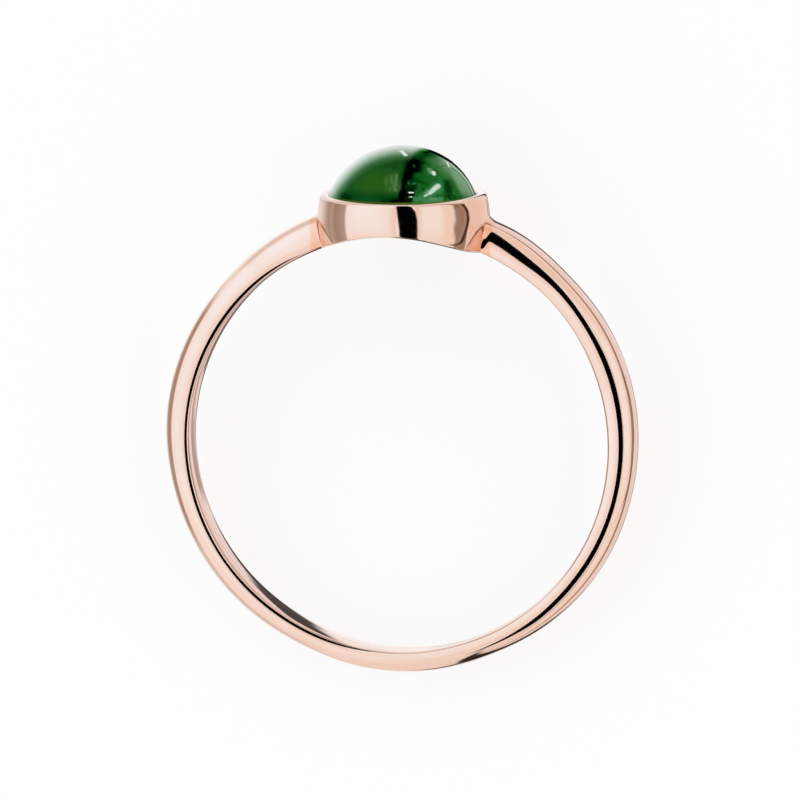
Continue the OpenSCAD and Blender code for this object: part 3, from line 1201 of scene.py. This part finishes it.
    def material(self) -> bpy.types.Material:
        """Builds the finish: the coloured body, and a mirror on the half that the viewer doesn't face.

        Returns:
            The material.
        """
        made = bpy.data.materials.new("green_tourmaline")
        made.use_nodes = True
        graph = Graph(made.node_tree)
        space = self.stone.space
        seen = graph.node("ShaderNodeTexCoord").outputs["Object"]
        middle = space.centre + np.array(self.stone.centre) @ space.axes * MM
        x, y, z = ((graph.dot(seen, axis) - float(middle @ axis)) / MM for axis in space.axes)
        facing = 1 - Value(graph, graph.node("ShaderNodeLayerWeight", None, {"Blend": 0.5}).outputs["Facing"])
        colour = self._edge(graph, facing, x, y, z, self._body(graph, x, y, z))
        body = {"Base Color": colour, "Roughness": 1.0, "Specular IOR Level": 0.0}
        gloss = {"Base Color": (*self.gloss_colour, 1), "Roughness": 0.04, "Metallic": 1.0}
        inner, outer = (graph.node("ShaderNodeBsdfPrincipled", None, look) for look in (body, gloss))
        share = graph.ramp_down(z, *self.gloss_z) * (0.04 + 0.9 * (1 - facing) ** 5)
        mixed = graph.node("ShaderNodeMixShader", None, {0: share, 1: inner.outputs[0], 2: outer.outputs[0]})
        graph.node("ShaderNodeOutputMaterial", None, {"Surface": mixed.outputs[0]})
        return made


# Studio

ALL_ROUND = (-180.0, 180.0)


@dataclass(frozen=True)
class Panel:
    """A stretch of the tent with a shade of its own, in degrees round the ring's head and above its waist."""

    azimuth: Span
    soft: Span
    colour: Colour
    share: float = 1.0
    above: Span = (-100.0, 100.0)
    soft_above: float = 5.0

    def share_at(self, graph: Graph, round_about: Value, above: Value) -> Value:
        """How much of a direction's light is the panel's.

        Args:
            graph: The world's graph.
            round_about: The direction's angle round the head, from -180 to 180.
            above: Its angle above the waist.

        Returns:
            The share from 0 to 1.
        """
        share = graph.window(above, *self.above, self.soft_above) * self.share
        if self.azimuth == ALL_ROUND:
            return share
        if self.azimuth[1] > ALL_ROUND[1]:
            round_about = graph.math("MODULO", round_about + 360.0, 360.0)
        edges = zip(self.azimuth, self.soft)
        start, finish = (graph.ramp_up(round_about, edge - soft, edge + soft) for edge, soft in edges)
        return start * (1 - finish) * share


@dataclass(frozen=True)
class Step:
    """A step in an edge of the slit, by an angle and between two heights above the waist, all in degrees."""

    by: float
    between: Span

    def at(self, graph: Graph, above: Value) -> Value:
        """How far the edge has stepped at an angle above the waist."""
        return self.by * graph.ramp_up(above, *self.between)


@dataclass(frozen=True)
class Tent:
    """A white tent round the ring, as its mirror finish sees it.

    It has a dark slit before the ring, grey gaps on both sides, a dark hem along the right one, a dark patch
    below at the back and a dark ledge below the cup. Angles are in degrees round the head and above the
    waist, and a part of a direction is from -1 to 1.
    """

    space: RingSpace
    white: float = 1.09
    backdrop: float = 0.99
    open_colour: Colour = (1.02, 1.05, 1.08)
    # The slit: its foot and top, its left edge with the slant and the heights that it slants between, its
    # right edge, and the steps to the left that both take higher up.
    slit_above: Span = (-50.0, 78.0)
    slit_left: float = 1.6
    slit_slant: float = 0.16
    slit_slanted: Span = (-14.0, 10.0)
    slit_right: float = 28.0
    left_step: Step = Step(4.0, (26.0, 46.0))
    right_steps: tuple[Step, Step] = (Step(1.7, (-4.0, 5.0)), Step(4.0, (4.5, 10.0)))
    # The hem: its foot and top, its place, the heights past which it goes on straight, and how much it moves
    # below one height, above another and below a third.
    hem_above: Span = (-25.5, 10.0)
    hem_azimuth: float = 106.6
    hem_bent: Span = (-30.0, 10.0)
    hem_out: Span = (0.65, -3.0)
    hem_high: Span = (0.12, 1.0)
    hem_low: Span = (0.4, -19.0)
    # Where the hem's dark line and the lighter strip begin and end, off its place.
    hem_line: Span = (-3.0, 2.6)
    hem_strip: Span = (-7.5, -3.0)
    hem_colour: Colour = (0.055, 0.035, 0.03)
    hem_light: Colour = (0.47, 0.35, 0.28)
    # The ledge: its sides in a direction's part x, how they change with its part z, and its top in y.
    ledge_x: Span = (0.085, 0.185)
    ledge_slope: Span = (0.05, -0.12)
    ledge_y: Span = (-0.50, -0.42)
    ledge_colour: Colour = (0.03, 0.02, 0.015)
    # The patch: its middle, and the angles off it at which it is full and ends.
    patch_at: Span = (168.0, -54.0)
    patch_reach: Span = (9.0, 17.0)
    patch_colour: Colour = (0.05, 0.035, 0.03)
    panels: tuple[Panel, ...] = (
        Panel((-180.0, 180.0), (1.0, 1.0), (1.0, 0.955, 0.93), 0.9, (-100.0, -16.0), 7.0),
        Panel((-180.0, 180.0), (1.0, 1.0), (0.96, 0.88, 0.84), 0.9, (-100.0, -44.0), 7.0),
        Panel((-60.0, -22.0), (12.0, 12.0), (1.04, 1.14, 1.23), 1.0, (-14.0, 100.0), 8.0),
        Panel((24.0, 70.0), (2.0, 20.0), (0.92, 0.76, 0.67), 1.0, (22.0, 70.0), 8.0),
        Panel((-7.0, 0.0), (6.0, 1.0), (0.95, 0.83, 0.78), 0.9, (-30.0, 20.0), 8.0),
        Panel((26.0, 33.0), (1.0, 5.0), (0.93, 0.79, 0.69), 0.9, (-30.0, 20.0), 8.0),
        Panel((64.0, 84.0), (6.0, 2.0), (0.985, 0.87, 0.80)),
        Panel((106.0, 168.0), (2.0, 2.0), (0.90, 0.845, 0.85)),
        Panel((-175.0, -120.0), (12.0, 12.0), (0.86, 0.80, 0.77), 1.0, (-20.0, 3.0), 3.0),
        Panel((-126.0, -75.5), (12.0, 2.0), (0.78, 0.70, 0.66), 1.0, (-60.0, -31.0), 5.0),
        Panel((-126.0, -75.5), (12.0, 2.0), (0.49, 0.395, 0.35), 1.0, (-31.0, 23.0), 5.0),
        Panel((-100.0, -86.0), (4.0, 8.0), (0.395, 0.31, 0.265), 1.0, (-29.0, 21.0), 5.0),
        Panel((-113.0, -109.5), (1.5, 1.5), (0.42, 0.33, 0.29), 0.8, (-29.0, 21.0), 5.0),
        Panel((83.5, 104.0), (2.5, 1.5), (0.37, 0.27, 0.215)),
        Panel((80.0, 90.0), (3.0, 3.0), (0.36, 0.255, 0.20), 1.0, (-16.0, -5.0), 5.0),
        Panel((84.0, 104.0), (5.0, 2.0), (0.20, 0.13, 0.10), 0.7, (7.0, 12.0), 1.5),
        Panel((163.0, 171.0), (1.0, 1.0), (0.30, 0.19, 0.14), 0.7, (-22.0, -2.0), 2.0),
        Panel((171.0, 176.0), (1.0, 1.0), (0.80, 0.64, 0.55), 0.8, (-22.0, -2.0), 2.0),
        Panel((176.0, 188.5), (1.0, 0.7), (0.12, 0.08, 0.07), 0.9, (-22.0, -2.0), 2.0),
        Panel((75.0, 180.0), (10.0, 1.0), (0.78, 0.66, 0.60), 0.8, (66.0, 100.0), 6.0),
        Panel((-180.0, -75.0), (1.0, 10.0), (0.76, 0.66, 0.61), 0.8, (30.0, 100.0), 10.0),
        Panel((-160.0, -112.0), (8.0, 14.0), (0.55, 0.44, 0.39), 0.2, (-64.0, -26.0), 8.0),
        Panel((168.5, 178.5), (1.2, 1.6), (0.03, 0.02, 0.02), 0.95, (-1.0, 34.0), 3.0),
    )

    def _hem(self, graph: Graph, round_about: Value, above: Value, colour: Any) -> Socket:
        """Adds the hem, a dark line that bends towards the front below and above, with a lighter strip.

        At an angle e above the waist it stands at h − a (e1 − e) − b (e − e2)² − c (e3 − e)², where each
        bracket is 0 rather than less. The strip is on its side to the front.

        Args:
            graph: The world's graph.
            round_about: The direction's angle round the head.
            above: Its angle above the waist.
            colour: The tent's colour.

        Returns:
            The colour with the hem.
        """
        bent = graph.held(above, *self.hem_bent)
        (a, below), (b, over), (c, far_below) = self.hem_out, self.hem_high, self.hem_low
        brackets = (below - bent, bent - over, far_below - bent)
        out, high, low = (graph.math("MAXIMUM", part, 0.0) for part in brackets)
        hem = self.hem_azimuth - a * out - b * high**2 - c * low**2
        strip = graph.window(round_about, *(hem + off for off in self.hem_strip), 1.5)
        line = graph.window(round_about, *(hem + off for off in self.hem_line), 1.2)
        colour = graph.paint(strip * 0.8, colour, self.hem_light)
        return graph.paint(line * graph.window(above, *self.hem_above, 1.0), colour, self.hem_colour)

    def _slit(self, graph: Graph, round_about: Value, above: Value) -> Value:
        """How much of a direction is in the slit, whose left edge slants and whose right edge steps in.

        Args:
            graph: The world's graph.
            round_about: The direction's angle round the head.
            above: Its angle above the waist.

        Returns:
            1 in the slit and 0 outside it.
        """
        slanted = self.slit_left - self.slit_slant * graph.held(above, *self.slit_slanted)
        left = slanted - self.left_step.at(graph, above)
        lower, upper = (step.at(graph, above) for step in self.right_steps)
        inside = graph.window(round_about, left, self.slit_right - lower - upper, 0.4)
        return inside * graph.window(above, *self.slit_above, 3.0)

    def _ledge(self, graph: Graph, x: Value, y: Value, z: Value) -> Value:
        """How much of a direction is in the ledge, whose sides draw together towards the viewer.

        Args:
            graph: The world's graph.
            x: The direction's part to the right.
            y: Its part to the stone.
            z: Its part to the viewer.

        Returns:
            1 in the ledge and 0 outside it.
        """
        left, right = (side + slope * z for side, slope in zip(self.ledge_x, self.ledge_slope))
        return graph.window(x, left, right, 0.015) * graph.ramp_down(y, *self.ledge_y)

    def _patch(self, graph: Graph, direction: Socket) -> Value:
        """The round patch of the tent.

        Args:
            graph: The world's graph.
            direction: The direction that is looked in.

        Returns:
            1 within its inner angle and 0 outside its outer one.
        """
        a, e, core, edge = (math.radians(angle) for angle in (*self.patch_at, *self.patch_reach))
        middle = np.array((math.sin(a) * math.cos(e), math.sin(e), math.cos(a) * math.cos(e)))
        off = graph.dot(direction, middle @ self.space.axes)
        return graph.ramp_up(off, math.cos(edge), math.cos(core))

    def build(self) -> None:
        """Builds the world: a shade for each direction, by its angle round and above the ring."""
        world = bpy.data.worlds.new("tent")
        world.use_nodes = True
        bpy.context.scene.world = world
        graph = Graph(world.node_tree)
        direction = graph.node("ShaderNodeTexCoord").outputs["Generated"]
        x, y, z = (graph.dot(direction, axis) for axis in self.space.axes)
        round_about = graph.math("ARCTAN2", x, z) * math.degrees(1)
        above = graph.math("ARCSINE", graph.held(y, -1.0, 1.0)) * math.degrees(1)
        colour = (*self.open_colour, 1)
        for panel in self.panels:
            colour = graph.paint(panel.share_at(graph, round_about, above), colour, panel.colour)
        colour = self._hem(graph, round_about, above, colour)
        colour = graph.paint(self._ledge(graph, x, y, z), colour, self.ledge_colour)
        colour = graph.paint(self._patch(graph, direction) * 0.9, colour, self.patch_colour)
        lit = self.white * (1 - self._slit(graph, round_about, above))
        tent = graph.node("ShaderNodeBackground", None, {"Color": colour, "Strength": lit})
        plain = graph.node("ShaderNodeBackground", None, {"Color": (1, 1, 1, 1), "Strength": self.backdrop})
        seen = graph.node("ShaderNodeLightPath").outputs["Is Camera Ray"]
        mixed = graph.node("ShaderNodeMixShader", None, {0: seen, 1: tent.outputs[0], 2: plain.outputs[0]})
        graph.node("ShaderNodeOutputWorld", None, {"Surface": mixed.outputs[0]})


@dataclass(frozen=True)
class Floor:
    """A plain pale floor with a soft glow of its own, as on a light table."""

    side: float = 2.0
    own_glow: float = 0.83
    albedo: float = 0.19

    def build(self, height: float) -> bpy.types.Object:
        """Builds the floor.

        Args:
            height: The floor's height in metres.

        Returns:
            The floor's object, which is part of the stage.
        """
        half = self.side / 2
        corners = [(-half, -half, height), (half, -half, height), (half, half, height), (-half, half, height)]
        mesh = bpy.data.meshes.new("floor")
        mesh.from_pydata(corners, [], [(0, 1, 2, 3)])
        made = bpy.data.objects.new("floor", mesh)
        bpy.context.scene.collection.objects.link(made)
        material = bpy.data.materials.new("pale_floor")
        material.use_nodes = True
        graph = Graph(material.node_tree)
        shader = graph.node(
            "ShaderNodeBsdfPrincipled",
            None,
            {
                "Base Color": (self.albedo, self.albedo, self.albedo, 1),
                "Roughness": 1.0,
                "Specular IOR Level": 0.0,
                "Emission Color": (1, 1, 1, 1),
                "Emission Strength": self.own_glow,
            },
        )
        graph.node("ShaderNodeOutputMaterial", None, {"Surface": shader.outputs[0]})
        mesh.materials.append(material)
        made.visible_glossy = False
        made.visible_transmission = False
        made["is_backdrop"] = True
        return made


@dataclass(frozen=True)
class Viewer:
    """The camera, at the photograph's angle to the ring."""

    space: RingSpace
    distance: float = 240.0
    yaw: float = 9.525
    pitch: float = 9.412
    roll: float = -0.175
    px_per_mm: float = 24.756
    centre_px: Span = (400.27, 441.48)

    def build(self) -> bpy.types.Object:
        """Builds the camera, which looks at the point that the photograph has in its middle.

        Returns:
            The camera's object.
        """
        yaw, pitch, roll = (math.radians(a) for a in (self.yaw, self.pitch, self.roll))
        back = np.array((math.sin(yaw) * math.cos(pitch), math.sin(pitch), math.cos(yaw) * math.cos(pitch)))
        right = np.cross((0.0, 1.0, 0.0), back)
        right /= np.linalg.norm(right)
        up = np.cross(back, right)
        right, up = right * math.cos(roll) + up * math.sin(roll), up * math.cos(roll) - right * math.sin(roll)
        off_x = (self.centre_px[0] - IMAGE_SIDE / 2) / self.px_per_mm
        off_y = (self.centre_px[1] - IMAGE_SIDE / 2) / self.px_per_mm
        eye = back * self.distance
        aim = up * off_y - right * off_x
        data = bpy.data.cameras.new("viewer")
        data.sensor_width = SENSOR
        data.lens = self.px_per_mm * self.distance / IMAGE_SIDE * SENSOR
        data.clip_start, data.clip_end = 0.01, 10.0
        camera = bpy.data.objects.new("viewer", data)
        bpy.context.scene.collection.objects.link(camera)
        look = (eye - aim) / np.linalg.norm(eye - aim)
        side = np.cross(up, look)
        side /= np.linalg.norm(side)
        turned = np.stack((side, np.cross(look, side), look)) @ self.space.axes
        matrix = Matrix(turned.T.tolist()).to_4x4()
        matrix.translation = Vector(self.space.place(eye))
        camera.matrix_world = matrix
        bpy.context.scene.camera = camera
        return camera


def dress(piece: bpy.types.Object, finish: bpy.types.Material, node: str) -> None:
    """Gives a piece its finish and its body, and hides the node that it stands for.

    Args:
        piece: The piece.
        finish: Its material.
        node: The node that it stands for.
    """
    piece.data.materials.append(finish)
    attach(piece, "root")
    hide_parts(node)
    LOG.info("%s: %d faces", piece.name, len(piece.data.polygons))


def main() -> None:
    """Builds the ring, its finishes, the floor, the light and the camera."""
    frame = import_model()
    space = RingSpace.from_frame(frame)
    stone = Cabochon(space)
    cup = Cup(space)
    gold = RoseGold(space, cup).material()
    dress(Shank(space, cup).build(), gold, "shank_and_bezel")
    dress(cup.build(stone), gold, "shank_and_bezel")
    dress(stone.build(), GreenTourmaline(stone).material(), "tourmaline_cabochon")
    visual_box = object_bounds()
    Floor().build(min(visual_box[0].z, 0.0))
    Tent(space).build()
    Viewer(space).build()
    bpy.context.scene.view_settings.view_transform = "Standard"


if __name__ == "__main__":
    logging.basicConfig(level=logging.INFO, format="%(name)s: %(message)s")
    main()
